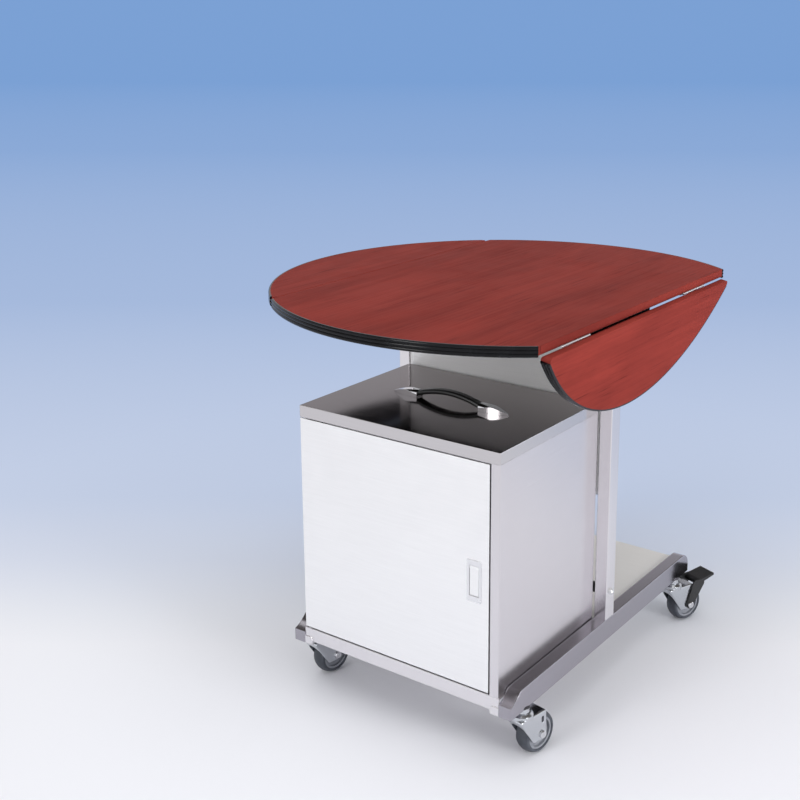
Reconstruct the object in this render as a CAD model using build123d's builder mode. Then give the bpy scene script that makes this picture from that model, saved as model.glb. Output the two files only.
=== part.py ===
"""Food transport trolley with a round drop-leaf table top and a portable insulated box.

Millimetres. The origin is on the floor under the centre of the round top, +Z up, -Y towards
the box door and +X towards the leaf that hangs down.
"""
import os
from math import acos, atan2, cos, degrees, hypot, radians, sin, sqrt

from build123d import *

os.makedirs("parts", exist_ok=True)

# Round top
TABLE_DIAMETER = 900.0
TABLE_HEIGHT = 750.0
BOARD_THICKNESS = 18.0
EDGING_THICKNESS = 4.0
EDGING_RIBS = 3
EDGING_RIB_RADIUS = 3.4
EDGING_RIB_DEPTH = 1.5
PANEL_HALF_WIDTH = 277.7
BOARD_CORNER_RADIUS = 6.5
BOARD_TOP_ROUND = 1.2

# Drop-leaf hinges
LEAF_GAP = 0.8
PIN_BELOW_MID_BOARD = 6.5
LEAF_TIP_CLEARANCE = 2.85
HINGE_PIN_RADIUS = 1.2
HINGE_PIN_HEAD_RADIUS = 1.9
HINGE_PIN_HEAD = 1.0
KNUCKLE_RADIUS = 2.1
KNUCKLE_LENGTH = 29.5
KNUCKLE_SPACE = 0.5
HINGE_SPACING = 450.0
HINGE_PLATE_WIDTH = 24.0
HINGE_SHEET = 1.3
HINGE_SEAT_CLEARANCE = 0.1
RUNNING_CLEARANCE = 0.05

# Base rails
RAIL_INSIDE_WIDTH = 430.0
RAIL_WIDTH = 25.0
RAIL_HEIGHT = 42.0
RAIL_BOTTOM = 98.0
RAIL_FRONT = -359.0
RAIL_REAR = 338.0
RAIL_WALL = 2.0
RAIL_EDGE_RADIUS = 1.5
NOSE_LENGTH = 30.0
NOSE_DROP = 20.0
NOSE_BULGE = 2.5
TAIL_RADIUS = 28.0

# Tray under the box and deck behind the columns
SHEET = 2.0
TRAY_TOP = 130.0
TRAY_FLANGE = 25.0
TRAY_TAB_WIDTH = 17.0
TRAY_TAB_HEIGHT = 15.0
TRAY_TAB_SHEET = 1.5
TRAY_TAB_RADIUS = 5.0
DECK_TOP = 136.0
DECK_REAR = 306.0
DECK_FLANGE = 26.0

# Columns and top frame
COLUMN_DEPTH = 32.0
COLUMN_REAR = 2.0
COLUMN_WALL = 2.0
COLUMN_EDGE_RADIUS = 1.5
BEARER_HEIGHT = 25.0
CHANNEL_HEIGHT = 25.0
CHANNEL_WIDTH = 60.0
CHANNEL_SPACING = 180.0
BACK_PANEL_BOTTOM = 384.0
BACK_PANEL_SHEET = 1.5
BACK_PANEL_SETBACK = 3.0
TIE_ROD_HEIGHT = 193.0
TIE_ROD_RADIUS = 10.0
TIE_ROD_END_RADIUS = 4.0
TIE_NUT_RADIUS = 7.0
TIE_NUT_DOME_RADIUS = 5.9
TABLE_SCREW_RADIUS = 2.5
TABLE_SCREW_LENGTH = 14.0
TABLE_SCREW_HEAD_RADIUS = 5.0
TABLE_SCREW_HEAD = 2.5
TABLE_SCREW_PITCH_X = 360.0
TABLE_SCREW_PITCH_Y = 30.0

# Casters
WHEEL_RADIUS = 37.5
TYRE_WIDTH = 28.0
TYRE_SHOULDER = 3.0
TREAD_RADIUS = 26.0
RIM_RADIUS = 29.0
RIM_WIDTH = 25.0
HUB_RADIUS = 11.0
WEB_RECESS = 5.0
RIM_LIP = 4.0
CASTER_TRAIL = 34.0
CASTER_X = 230.0
FRONT_CASTER_Y = -308.0
REAR_CASTER_Y = 284.0
FORK_INSIDE = 30.0
FORK_SHEET = 3.0
FORK_PLATE_TOP = 81.5
FORK_TOE_RADIUS = 9.0
FORK_TOE_FRONT = 18.0
FORK_TOE_REAR = 37.0
FORK_TOE_HEIGHT = 36.0
FORK_SHOULDER_RADIUS = 4.0
FORK_BEND_RADIUS = 2.5
FORK_FRONT = 20.0
FORK_REAR = 44.0
FORK_FRONT_SHEET = 3.5
FORK_ARCH_HEIGHT = 68.0
FORK_ARCH_RADIUS = 12.0
FORK_SLOT_HEIGHT = 66.0
FORK_SLOT_LENGTH = 12.0
FORK_SLOT_WIDTH = 6.0
RACE_RADIUS = 20.0
RACE_GAP = 0.3
CUP_RADIUS = 14.0
CUP_HEIGHT = 8.0
KINGPIN_RADIUS = 4.5
KINGPIN_HEAD_RADIUS = 8.0
KINGPIN_HEAD = 2.8
STEM_RADIUS = 6.0
STEM_LENGTH = 34.0
SOCKET_LENGTH = 40.0
AXLE_RADIUS = 4.0
AXLE_HEAD_RADIUS = 7.0
AXLE_HEAD = 4.0
AXLE_HEAD_CHAMFER = 1.2
PEDAL_SHEET = 3.0
PEDAL_SIDE_GAP = 0.5
PEDAL_CHEEK_FRONT = 48.0
PEDAL_CHEEK_RADIUS = 9.0
PEDAL_BRIDGE_START = 56.0
PEDAL_BRIDGE_END = 72.0
PEDAL_BRIDGE_HIGH = 87.0
PEDAL_REACH = 100.0
PEDAL_TIP_HIGH = 92.0
PEDAL_THICKNESS = 9.0
PEDAL_WIDTH = 40.0

# Insulated box
BOX_WIDTH = 427.0
BOX_DEPTH = 324.0
BOX_FRONT = -357.5
BOX_HEIGHT = 435.0
LID_HEIGHT = 21.0
LID_EDGE_RADIUS = 1.5
BOX_SHEET = 1.0
BOX_WALL = 22.0
BOX_EDGE_RADIUS = 1.2
STILE_WIDTH = 17.5
SHELF_HEIGHT = 335.0
SHELF_SHEET = 1.5
SHELF_LIP = 12.0
RUNNER_WIDTH = 14.0
RUNNER_SHEET = 1.5
SIDE_PLAY = 1.5

# Carrying handle on the lid
HANDLE_LENGTH = 250.0
HANDLE_END_LENGTH = 58.0
HANDLE_END_WIDTH = 20.0
HANDLE_END_HEIGHT = 13.6
HANDLE_END_ROUND = 7.0
HANDLE_TIP_HEIGHT = 2.5
GRIP_RISE = 12.0
GRIP_START_HEIGHT = 7.8
GRIP_WIDTH = 17.0
GRIP_THICKNESS = 9.0
GRIP_ROUND = 4.2
GRIP_INSERT = 6.0

# Door, hinged at its left edge
DOOR_THICKNESS = 20.0
DOOR_GAP = 3.0
DOOR_BOTTOM_GAP = 3.0
DOOR_EDGE_RADIUS = 0.8
DOOR_PIVOT_INSET = 7.0
DOOR_PIN_RADIUS = 3.0
DOOR_PIN_LENGTH = 13.0
GASKET_WIDTH = 8.0
GASKET_INSET = 13.0
GASKET_SPACE = 2.5
GASKET_CLEARANCE = 0.3

# Flush latch in the door
LATCH_X = 164.5
LATCH_Z = 330.5
LATCH_WIDTH = 29.0
LATCH_HEIGHT = 75.0
LATCH_PROUD = 1.5
LATCH_ROUND = 3.0
LATCH_TUB_MARGIN = 3.0
LATCH_TUB_DEPTH = 10.0
LATCH_WINDOW_WIDTH = 19.0
LATCH_WINDOW_HEIGHT = 54.0
LATCH_FLOOR = 1.0
PADDLE_CLEARANCE = 0.5
PADDLE_THICKNESS = 3.0
PADDLE_SETBACK = 0.3
PADDLE_PIVOT_DROP = 4.0
PADDLE_PIVOT_RADIUS = 1.5
PADDLE_PIVOT_LENGTH = 1.5
BOLT_HEIGHT = 16.0
BOLT_THICKNESS = 5.0
BOLT_LENGTH = 42.0
BOLT_THROW = 8.5
BOLT_CLEARANCE = 0.6

# Derived places
TABLE_RADIUS = TABLE_DIAMETER / 2
BOARD_RADIUS = TABLE_RADIUS - EDGING_THICKNESS
BOARD_BOTTOM = TABLE_HEIGHT - BOARD_THICKNESS
BOARD_MID = TABLE_HEIGHT - BOARD_THICKNESS / 2
PIN_X = PANEL_HALF_WIDTH + LEAF_GAP / 2
PIN_Z = BOARD_MID - PIN_BELOW_MID_BOARD
NOSE_RADIUS = BOARD_THICKNESS / 2
NOSE_CENTER = LEAF_GAP / 2 + NOSE_RADIUS
BEARER_LENGTH = CHANNEL_SPACING + CHANNEL_WIDTH

RAIL_IN = RAIL_INSIDE_WIDTH / 2
RAIL_OUT = RAIL_IN + RAIL_WIDTH
RAIL_TOP = RAIL_BOTTOM + RAIL_HEIGHT
LEAF_TIP_OUT = TABLE_RADIUS - PIN_X
LEAF_TIP_UP = PIN_BELOW_MID_BOARD - BOARD_THICKNESS / 2
LEAF_TIP_COSINE = (RAIL_OUT + LEAF_TIP_CLEARANCE - PIN_X) / hypot(LEAF_TIP_OUT, LEAF_TIP_UP)
LEAF_HANG_ANGLE = degrees(acos(LEAF_TIP_COSINE) + atan2(LEAF_TIP_UP, LEAF_TIP_OUT))
COLUMN_FRONT = COLUMN_REAR - COLUMN_DEPTH
COLUMN_MID = (COLUMN_FRONT + COLUMN_REAR) / 2
CHANNEL_BOTTOM = BOARD_BOTTOM - CHANNEL_HEIGHT
BEARER_BOTTOM = CHANNEL_BOTTOM - BEARER_HEIGHT
BEARER_REAR = COLUMN_MID + BEARER_LENGTH / 2
CHANNEL_PLACES = (COLUMN_MID - CHANNEL_SPACING / 2, COLUMN_MID + CHANNEL_SPACING / 2)

BOX_X = BOX_WIDTH / 2
BOX_REAR = BOX_FRONT + BOX_DEPTH
BOX_BOTTOM = TRAY_TOP
BOX_TOP = BOX_BOTTOM + BOX_HEIGHT
SHELL_TOP = BOX_TOP - LID_HEIGHT
STILE_X = BOX_X - STILE_WIDTH
DOOR_BACK = BOX_FRONT + DOOR_THICKNESS
FRAME_FRONT = DOOR_BACK + GASKET_SPACE
CAVITY_X = BOX_X - BOX_WALL - BOX_SHEET
CAVITY_REAR = BOX_REAR - BOX_WALL - BOX_SHEET
CAVITY_BOTTOM = BOX_BOTTOM + BOX_WALL + BOX_SHEET
CAVITY_TOP = SHELL_TOP - BOX_WALL - BOX_SHEET
DOOR_LEFT = -BOX_X
DOOR_RIGHT = STILE_X - DOOR_GAP
DOOR_BOTTOM = BOX_BOTTOM + DOOR_BOTTOM_GAP
DOOR_TOP = SHELL_TOP - DOOR_BOTTOM_GAP
DOOR_PIVOT_X = DOOR_LEFT + DOOR_PIVOT_INSET
DOOR_PIVOT_Y = BOX_FRONT + DOOR_PIVOT_INSET
LATCH_BACK = BOX_FRONT + LATCH_TUB_DEPTH
BOLT_BACK = DOOR_BACK - BOX_SHEET - BOLT_CLEARANCE
BOLT_FRONT = BOLT_BACK - BOLT_THICKNESS
BOLT_TIP = DOOR_RIGHT + BOLT_THROW
BOLT_TAIL = BOLT_TIP - BOLT_LENGTH


def block(low, high, mode=Mode.ADD):
    """A box between two corners, in the part that is being built."""
    size = [h - l for l, h in zip(low, high)]
    middle = [(h + l) / 2 for l, h in zip(low, high)]
    with Locations(tuple(middle)):
        Box(*size, mode=mode)


def rod(plane, radius, length, mode=Mode.ADD):
    """A round bar that starts on a plane and runs along its normal."""
    with BuildSketch(plane) as disc:
        Circle(radius)
    extrude(disc.sketch, amount=length, mode=mode)


def save(piece, name):
    """Label a finished piece and write it to its own file."""
    piece.part.label = name
    export_step(piece.part, f"parts/{name}.step")


def section_plane(plane, along=0.0):
    """The upright plane across a hinge line, with x as the plane's x and y as its normal."""
    place = plane.origin + plane.y_dir * along
    return Plane(origin=place, x_dir=plane.x_dir, z_dir=plane.y_dir * -1)


def turned(plane, angle):
    """A plane turned about its own normal."""
    across = plane.x_dir * cos(radians(angle)) + plane.y_dir * sin(radians(angle))
    return Plane(origin=plane.origin, x_dir=across, z_dir=plane.z_dir)


# Base rails, folded channels that are open underneath
def make_rail(inside_x):
    with BuildPart() as rail:
        with BuildSketch(Plane.YZ.offset(inside_x)):
            with BuildLine():
                nose_low = (RAIL_FRONT, RAIL_TOP - NOSE_DROP)
                nose_high = (RAIL_FRONT + NOSE_LENGTH, RAIL_TOP)
                Line((RAIL_REAR, RAIL_BOTTOM), (RAIL_FRONT, RAIL_BOTTOM))
                Line((RAIL_FRONT, RAIL_BOTTOM), nose_low)
                SagittaArc(nose_low, nose_high, -NOSE_BULGE)
                Line(nose_high, (RAIL_REAR - TAIL_RADIUS, RAIL_TOP))
                tail_low = (RAIL_REAR, RAIL_TOP - TAIL_RADIUS)
                RadiusArc((RAIL_REAR - TAIL_RADIUS, RAIL_TOP), tail_low, TAIL_RADIUS)
                Line(tail_low, (RAIL_REAR, RAIL_BOTTOM))
            make_face()
        extrude(amount=RAIL_WIDTH)
        top = rail.faces().filter_by(Axis.Z).sort_by(Axis.Z)[-1]
        fillet(top.edges().filter_by(Axis.Y), RAIL_EDGE_RADIUS)
        offset(amount=-RAIL_WALL, openings=rail.faces().sort_by(Axis.Z)[0])
    return rail


left_rail = make_rail(-RAIL_OUT)
right_rail = make_rail(RAIL_IN)
save(left_rail, "left_rail")
save(right_rail, "right_rail")

# Caster places, with the way each wheel trails, counted from straight back towards +X
CASTERS = {
    "front_left": (-CASTER_X, FRONT_CASTER_Y, 8.0, False),
    "front_right": (CASTER_X, FRONT_CASTER_Y, 10.0, False),
    "rear_left": (-CASTER_X, REAR_CASTER_Y, -12.0, True),
    "rear_right": (CASTER_X, REAR_CASTER_Y, 22.0, True),
}

# Threaded blocks welded inside the rails over each caster
with BuildPart() as caster_sockets:
    for x, y, turn, braked in CASTERS.values():
        side = 1 if x > 0 else -1
        near = side * (RAIL_IN + RAIL_WALL)
        far = side * (RAIL_OUT - RAIL_WALL)
        low = (min(near, far), y - SOCKET_LENGTH / 2, RAIL_BOTTOM)
        high = (max(near, far), y + SOCKET_LENGTH / 2, RAIL_BOTTOM + STEM_LENGTH)
        block(low, high)
        rod(Plane((x, y, RAIL_BOTTOM)), STEM_RADIUS + RUNNING_CLEARANCE, STEM_LENGTH, Mode.SUBTRACT)
save(caster_sockets, "caster_sockets")

# Tray that carries the box, with its front flange and the two corner tabs
with BuildPart() as box_tray:
    block((-RAIL_IN, BOX_FRONT, TRAY_TOP - SHEET), (RAIL_IN, COLUMN_FRONT, TRAY_TOP))
    block((-RAIL_IN, BOX_FRONT, TRAY_TOP - TRAY_FLANGE), (RAIL_IN, BOX_FRONT + SHEET, TRAY_TOP))
    front = Plane(origin=(0, BOX_FRONT, RAIL_BOTTOM), x_dir=(1, 0, 0), z_dir=(0, -1, 0))
    with BuildSketch(front) as tabs:
        with Locations((-RAIL_IN, 0)):
            Rectangle(TRAY_TAB_WIDTH, TRAY_TAB_HEIGHT, align=(Align.MIN, Align.MIN))
        with Locations((RAIL_IN, 0)):
            Rectangle(TRAY_TAB_WIDTH, TRAY_TAB_HEIGHT, align=(Align.MAX, Align.MIN))
        inner = tabs.vertices().group_by(Axis.Y)[-1].sort_by(Axis.X)[1:3]
        fillet(inner, TRAY_TAB_RADIUS)
    extrude(amount=TRAY_TAB_SHEET)
    with BuildSketch(front.offset(-SHEET)):
        with Locations((-RAIL_IN, 0)):
            Rectangle(TRAY_TAB_WIDTH, TRAY_TOP - TRAY_FLANGE - RAIL_BOTTOM, align=(Align.MIN, Align.MIN))
        with Locations((RAIL_IN, 0)):
            Rectangle(TRAY_TAB_WIDTH, TRAY_TOP - TRAY_FLANGE - RAIL_BOTTOM, align=(Align.MAX, Align.MIN))
    extrude(amount=SHEET)
save(box_tray, "box_tray")

# Rear deck, a folded pan that is open underneath
with BuildPart() as rear_deck:
    block((-RAIL_IN, COLUMN_FRONT, DECK_TOP - DECK_FLANGE), (RAIL_IN, DECK_REAR, DECK_TOP))
    inside_low = (-RAIL_IN + SHEET, COLUMN_FRONT + SHEET, DECK_TOP - DECK_FLANGE)
    block(inside_low, (RAIL_IN - SHEET, DECK_REAR - SHEET, DECK_TOP - SHEET), Mode.SUBTRACT)
save(rear_deck, "rear_deck")


# Columns on the rails and the bearers that lie on the columns
def make_column(middle_x):
    with BuildPart() as column:
        with BuildSketch(Plane((middle_x, COLUMN_MID, RAIL_TOP))):
            RectangleRounded(RAIL_WIDTH, COLUMN_DEPTH, COLUMN_EDGE_RADIUS)
            Rectangle(RAIL_WIDTH - 2 * COLUMN_WALL, COLUMN_DEPTH - 2 * COLUMN_WALL, mode=Mode.SUBTRACT)
        extrude(amount=BEARER_BOTTOM - RAIL_TOP)
        rod_hole = Plane(origin=(middle_x - RAIL_WIDTH / 2, COLUMN_MID, TIE_ROD_HEIGHT), z_dir=(1, 0, 0))
        rod(rod_hole, TIE_ROD_END_RADIUS + RUNNING_CLEARANCE, RAIL_WIDTH, Mode.SUBTRACT)
    return column


def make_bearer(middle_x):
    with BuildPart() as bearer:
        with BuildSketch(Plane(origin=(middle_x, BEARER_REAR, BEARER_BOTTOM + BEARER_HEIGHT / 2),
                               x_dir=(1, 0, 0), z_dir=(0, -1, 0))):
            RectangleRounded(RAIL_WIDTH, BEARER_HEIGHT, COLUMN_EDGE_RADIUS)
            Rectangle(RAIL_WIDTH - 2 * COLUMN_WALL, BEARER_HEIGHT - 2 * COLUMN_WALL, mode=Mode.SUBTRACT)
        extrude(amount=BEARER_LENGTH)
    return bearer


COLUMN_X = (RAIL_IN + RAIL_OUT) / 2
save(make_column(-COLUMN_X), "left_column")
save(make_column(COLUMN_X), "right_column")
save(make_bearer(-COLUMN_X), "left_bearer")
save(make_bearer(COLUMN_X), "right_bearer")

# Plain sheet between the columns, above the height of the box
with BuildPart() as upper_back_panel:
    panel_front = COLUMN_FRONT + BACK_PANEL_SETBACK
    panel_rear = panel_front + BACK_PANEL_SHEET
    block((-RAIL_IN, panel_front, BACK_PANEL_BOTTOM), (RAIL_IN, panel_rear, CHANNEL_BOTTOM))
save(upper_back_panel, "upper_back_panel")

# Dark tie bar between the columns, with thinner ends that take a dome nut each
with BuildPart() as tie_rod:
    across = Plane(origin=(0, COLUMN_MID, TIE_ROD_HEIGHT), z_dir=(1, 0, 0))
    rod(across.offset(-RAIL_IN), TIE_ROD_RADIUS, RAIL_INSIDE_WIDTH)
    rod(across.offset(-RAIL_OUT - TIE_NUT_RADIUS / 2), TIE_ROD_END_RADIUS, 2 * RAIL_OUT + TIE_NUT_RADIUS)
save(tie_rod, "tie_rod")

with BuildPart() as tie_rod_nuts:
    for side in (-1, 1):
        face = Plane(origin=(side * RAIL_OUT, COLUMN_MID, TIE_ROD_HEIGHT), z_dir=(side, 0, 0))
        with BuildSketch(face):
            RegularPolygon(TIE_NUT_RADIUS, 6)
        extrude(amount=TIE_NUT_RADIUS / 2)
        with Locations(face.offset(TIE_NUT_RADIUS / 2)):
            Sphere(TIE_NUT_DOME_RADIUS, arc_size1=0)
        hole_depth = TIE_NUT_RADIUS / 2 + RUNNING_CLEARANCE
        rod(face, TIE_ROD_END_RADIUS + RUNNING_CLEARANCE, hole_depth, Mode.SUBTRACT)
save(tie_rod_nuts, "tie_rod_nuts")


# Cross channels under the top, open underneath and closed at both ends
def make_channel(middle_y):
    with BuildPart() as channel:
        low = (-RAIL_OUT, middle_y - CHANNEL_WIDTH / 2, CHANNEL_BOTTOM)
        high = (RAIL_OUT, middle_y + CHANNEL_WIDTH / 2, BOARD_BOTTOM)
        block(low, high)
        inside_low = (low[0] + SHEET, low[1] + SHEET, low[2])
        inside_high = (high[0] - SHEET, high[1] - SHEET, high[2] - SHEET)
        block(inside_low, inside_high, Mode.SUBTRACT)
        with BuildSketch(Plane((0, middle_y, BOARD_BOTTOM - SHEET))):
            with GridLocations(TABLE_SCREW_PITCH_X, TABLE_SCREW_PITCH_Y, 2, 2):
                Circle(TABLE_SCREW_RADIUS + RUNNING_CLEARANCE)
        extrude(amount=SHEET, mode=Mode.SUBTRACT)
    return channel


save(make_channel(CHANNEL_PLACES[0]), "front_cross_channel")
save(make_channel(CHANNEL_PLACES[1]), "rear_cross_channel")

# Screws that hold the channels to the board
SCREW_GRID = [
    (
        side * TABLE_SCREW_PITCH_X / 2,
        middle_y + row * TABLE_SCREW_PITCH_Y / 2,
        BOARD_BOTTOM - SHEET,
    )
    for middle_y in CHANNEL_PLACES
    for row in (-1, 1)
    for side in (-1, 1)
]
with BuildPart() as table_screws:
    for place in SCREW_GRID:
        rod(Plane(place), TABLE_SCREW_RADIUS, TABLE_SCREW_LENGTH)
        rod(Plane(place).offset(-TABLE_SCREW_HEAD), TABLE_SCREW_HEAD_RADIUS, TABLE_SCREW_HEAD)
save(table_screws, "table_screws")


# Round top: a middle panel and two leaves with rounded hinge edges
def board_section(plane, start, length):
    """Keep what lies inside a board section: a small round at its top and a full one below."""
    with BuildSketch(section_plane(plane)) as edge:
        with Locations((start + length / 2, 0)):
            Rectangle(length, BOARD_THICKNESS)
        rows = edge.vertices().group_by(Axis.Y)
        fillet(rows[0], NOSE_RADIUS)
        fillet(edge.vertices().group_by(Axis.Y)[-1], BOARD_TOP_ROUND)
    extrude(edge.sketch, amount=TABLE_DIAMETER, both=True, mode=Mode.INTERSECT)


with BuildPart() as center_panel:
    with BuildSketch(Plane.XY.offset(BOARD_BOTTOM)) as center_outline:
        Circle(BOARD_RADIUS)
        Rectangle(2 * PANEL_HALF_WIDTH, TABLE_DIAMETER, mode=Mode.INTERSECT)
        fillet(center_outline.vertices(), BOARD_CORNER_RADIUS)
    extrude(amount=BOARD_THICKNESS)
    board_section(Plane.XY.offset(BOARD_MID), -PANEL_HALF_WIDTH, 2 * PANEL_HALF_WIDTH)
    for place in SCREW_GRID:
        hole_depth = TABLE_SCREW_LENGTH - SHEET
        rod(Plane(place).offset(SHEET), TABLE_SCREW_RADIUS + RUNNING_CLEARANCE, hole_depth, Mode.SUBTRACT)
save(center_panel, "center_panel")


def make_leaf(hinge):
    """A leaf on its hinge plane: x runs out from the pin, z is the leaf's upward side."""
    with BuildPart() as leaf:
        with BuildSketch(hinge.offset(PIN_BELOW_MID_BOARD - BOARD_THICKNESS / 2)) as outline:
            with Locations((-PIN_X, 0)):
                Circle(BOARD_RADIUS)
            with Locations((LEAF_GAP / 2, 0)):
                Rectangle(TABLE_RADIUS, TABLE_DIAMETER, align=(Align.MIN, Align.CENTER), mode=Mode.INTERSECT)
            fillet(outline.vertices(), BOARD_CORNER_RADIUS)
        extrude(amount=BOARD_THICKNESS)
        board_section(hinge.offset(PIN_BELOW_MID_BOARD), LEAF_GAP / 2, TABLE_RADIUS)
    return leaf


def edging_strip(middle, start_angle, sweep):
    """Ribbed edge moulding round part of the board, about the normal of a plane at mid board."""
    start = turned(middle, start_angle)
    with BuildSketch(section_plane(start)) as profile:
        with Locations((TABLE_RADIUS - EDGING_RIB_RADIUS, 0)):
            with GridLocations(0, BOARD_THICKNESS / EDGING_RIBS, 1, EDGING_RIBS):
                Circle(EDGING_RIB_RADIUS)
        inner_edge = (Align.MIN, Align.CENTER)
        with Locations((BOARD_RADIUS, 0)):
            Rectangle(EDGING_THICKNESS - EDGING_RIB_DEPTH, BOARD_THICKNESS, align=inner_edge)
            Rectangle(EDGING_THICKNESS, BOARD_THICKNESS, align=inner_edge, mode=Mode.INTERSECT)
    revolve(profile.sketch, axis=Axis(start.origin, start.z_dir), revolution_arc=sweep)


def corner_angle(edge_x, inward):
    """Angle from +X at which a board's round edge runs into its rounded corner."""
    middle_x = edge_x + inward * BOARD_CORNER_RADIUS
    middle_y = sqrt((BOARD_RADIUS - BOARD_CORNER_RADIUS) ** 2 - middle_x ** 2)
    return degrees(atan2(middle_y, middle_x))


center_corner = corner_angle(PANEL_HALF_WIDTH, -1)
leaf_corner = corner_angle(PANEL_HALF_WIDTH + LEAF_GAP, 1)

with BuildPart() as center_edging:
    for first in (center_corner, center_corner + 180):
        edging_strip(Plane.XY.offset(BOARD_MID), first, 180 - 2 * center_corner)
save(center_edging, "center_edging")


def make_leaf_edging(hinge):
    with BuildPart() as strip:
        lifted = hinge.offset(PIN_BELOW_MID_BOARD)
        center = Plane(origin=lifted.origin - lifted.x_dir * PIN_X, x_dir=lifted.x_dir, z_dir=lifted.z_dir)
        edging_strip(center, -leaf_corner, 2 * leaf_corner)
    return strip


hang = radians(LEAF_HANG_ANGLE)
LEFT_LEAF_HINGE = Plane(origin=(-PIN_X, 0, PIN_Z), x_dir=(-1, 0, 0), z_dir=(0, 0, 1))
leaf_down = (cos(hang), 0, -sin(hang))
leaf_up = (sin(hang), 0, cos(hang))
RIGHT_LEAF_HINGE = Plane(origin=(PIN_X, 0, PIN_Z), x_dir=leaf_down, z_dir=leaf_up)
LEFT_FIXED_HINGE = Plane(origin=(-PIN_X, 0, PIN_Z), x_dir=(1, 0, 0), z_dir=(0, 0, 1))
RIGHT_FIXED_HINGE = Plane(origin=(PIN_X, 0, PIN_Z), x_dir=(-1, 0, 0), z_dir=(0, 0, 1))

save(make_leaf(LEFT_LEAF_HINGE), "left_leaf_panel")
save(make_leaf(RIGHT_LEAF_HINGE), "right_leaf_panel")
save(make_leaf_edging(LEFT_LEAF_HINGE), "left_leaf_edging")
save(make_leaf_edging(RIGHT_LEAF_HINGE), "right_leaf_edging")

# Hinges: a plate under the board, curled tabs round the rounded edge, and knuckles on the pin
KNUCKLE_PITCH = KNUCKLE_LENGTH + KNUCKLE_SPACE
HINGE_LENGTH = 3 * KNUCKLE_LENGTH + 2 * KNUCKLE_SPACE
CURL_IN = NOSE_RADIUS + HINGE_SEAT_CLEARANCE
CURL_OUT = CURL_IN + HINGE_SHEET
CURL_START = 180 + degrees(atan2(PIN_BELOW_MID_BOARD, NOSE_CENTER))
HINGE_PLACES = (COLUMN_MID - HINGE_SPACING / 2, COLUMN_MID + HINGE_SPACING / 2)


def hinge_half(hinge, middle, knuckles):
    """One half of a hinge about a place along Y, with knuckles at the given thirds of its length."""
    along = middle * hinge.y_dir.Y
    with BuildSketch(section_plane(hinge, along + HINGE_LENGTH / 2)) as flat:
        with Locations((NOSE_CENTER, PIN_BELOW_MID_BOARD - CURL_OUT)):
            Rectangle(HINGE_PLATE_WIDTH, HINGE_SHEET, align=(Align.MIN, Align.MIN))
    extrude(flat.sketch, amount=HINGE_LENGTH)
    for third in knuckles:
        end = along + third * KNUCKLE_PITCH + KNUCKLE_LENGTH / 2
        with BuildSketch(section_plane(hinge, end)) as tab:
            with BuildLine():
                nose = (NOSE_CENTER, PIN_BELOW_MID_BOARD)
                outer = CenterArc(nose, CURL_OUT, CURL_START, 270 - CURL_START)
                inner = CenterArc(nose, CURL_IN, CURL_START, 270 - CURL_START)
                Line(outer @ 0, inner @ 0)
                Line(outer @ 1, inner @ 1)
            make_face()
            Circle(KNUCKLE_RADIUS)
            Circle(HINGE_PIN_RADIUS + RUNNING_CLEARANCE, mode=Mode.SUBTRACT)
        extrude(tab.sketch, amount=KNUCKLE_LENGTH)


with BuildPart() as fixed_hinge_plates:
    for hinge in (LEFT_FIXED_HINGE, RIGHT_FIXED_HINGE):
        for middle in HINGE_PLACES:
            hinge_half(hinge, middle, (-1, 1))
save(fixed_hinge_plates, "fixed_hinge_plates")

for side_name, hinge in (("left", LEFT_LEAF_HINGE), ("right", RIGHT_LEAF_HINGE)):
    with BuildPart() as leaf_plates:
        for middle in HINGE_PLACES:
            hinge_half(hinge, middle, (0,))
    save(leaf_plates, f"{side_name}_hinge_plates")

with BuildPart() as hinge_pins:
    for side in (-1, 1):
        for middle in HINGE_PLACES:
            start = Plane(origin=(side * PIN_X, middle - HINGE_LENGTH / 2, PIN_Z), z_dir=(0, 1, 0))
            rod(start.offset(-HINGE_PIN_HEAD), HINGE_PIN_RADIUS, HINGE_LENGTH + 2 * HINGE_PIN_HEAD)
            rod(start.offset(-HINGE_PIN_HEAD), HINGE_PIN_HEAD_RADIUS, HINGE_PIN_HEAD)
            rod(start.offset(HINGE_LENGTH), HINGE_PIN_HEAD_RADIUS, HINGE_PIN_HEAD)
save(hinge_pins, "hinge_pins")

# Casters: a fixed kingpin with its upper race, then fork, axle, wheel and brake pedal on each
FORK_PLATE_BOTTOM = FORK_PLATE_TOP - FORK_SHEET
CUP_BOTTOM = RAIL_BOTTOM - CUP_HEIGHT
RACE_TOP = CUP_BOTTOM - RACE_GAP
FORK_OUT = FORK_INSIDE / 2 + FORK_SHEET

with BuildPart() as caster_kingpins:
    for x, y, turn, braked in CASTERS.values():
        rod(Plane((x, y, CUP_BOTTOM)), CUP_RADIUS, CUP_HEIGHT)
        rod(Plane((x, y, RAIL_BOTTOM)), STEM_RADIUS, STEM_LENGTH)
        head_top = FORK_PLATE_BOTTOM - RACE_GAP
        rod(Plane((x, y, head_top)), KINGPIN_RADIUS, CUP_BOTTOM - head_top)
        rod(Plane((x, y, head_top - KINGPIN_HEAD)), KINGPIN_HEAD_RADIUS, KINGPIN_HEAD)
save(caster_kingpins, "caster_kingpins")


def side_plane(x, y, turn, lateral=0.0):
    """Upright plane along a caster: x the way the wheel trails, y up, normal to its right."""
    trail = Vector(sin(radians(turn)), cos(radians(turn)), 0)
    right = Vector(cos(radians(turn)), -sin(radians(turn)), 0)
    return Plane(origin=Vector(x, y, 0) + right * lateral, x_dir=trail, z_dir=right)


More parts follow.
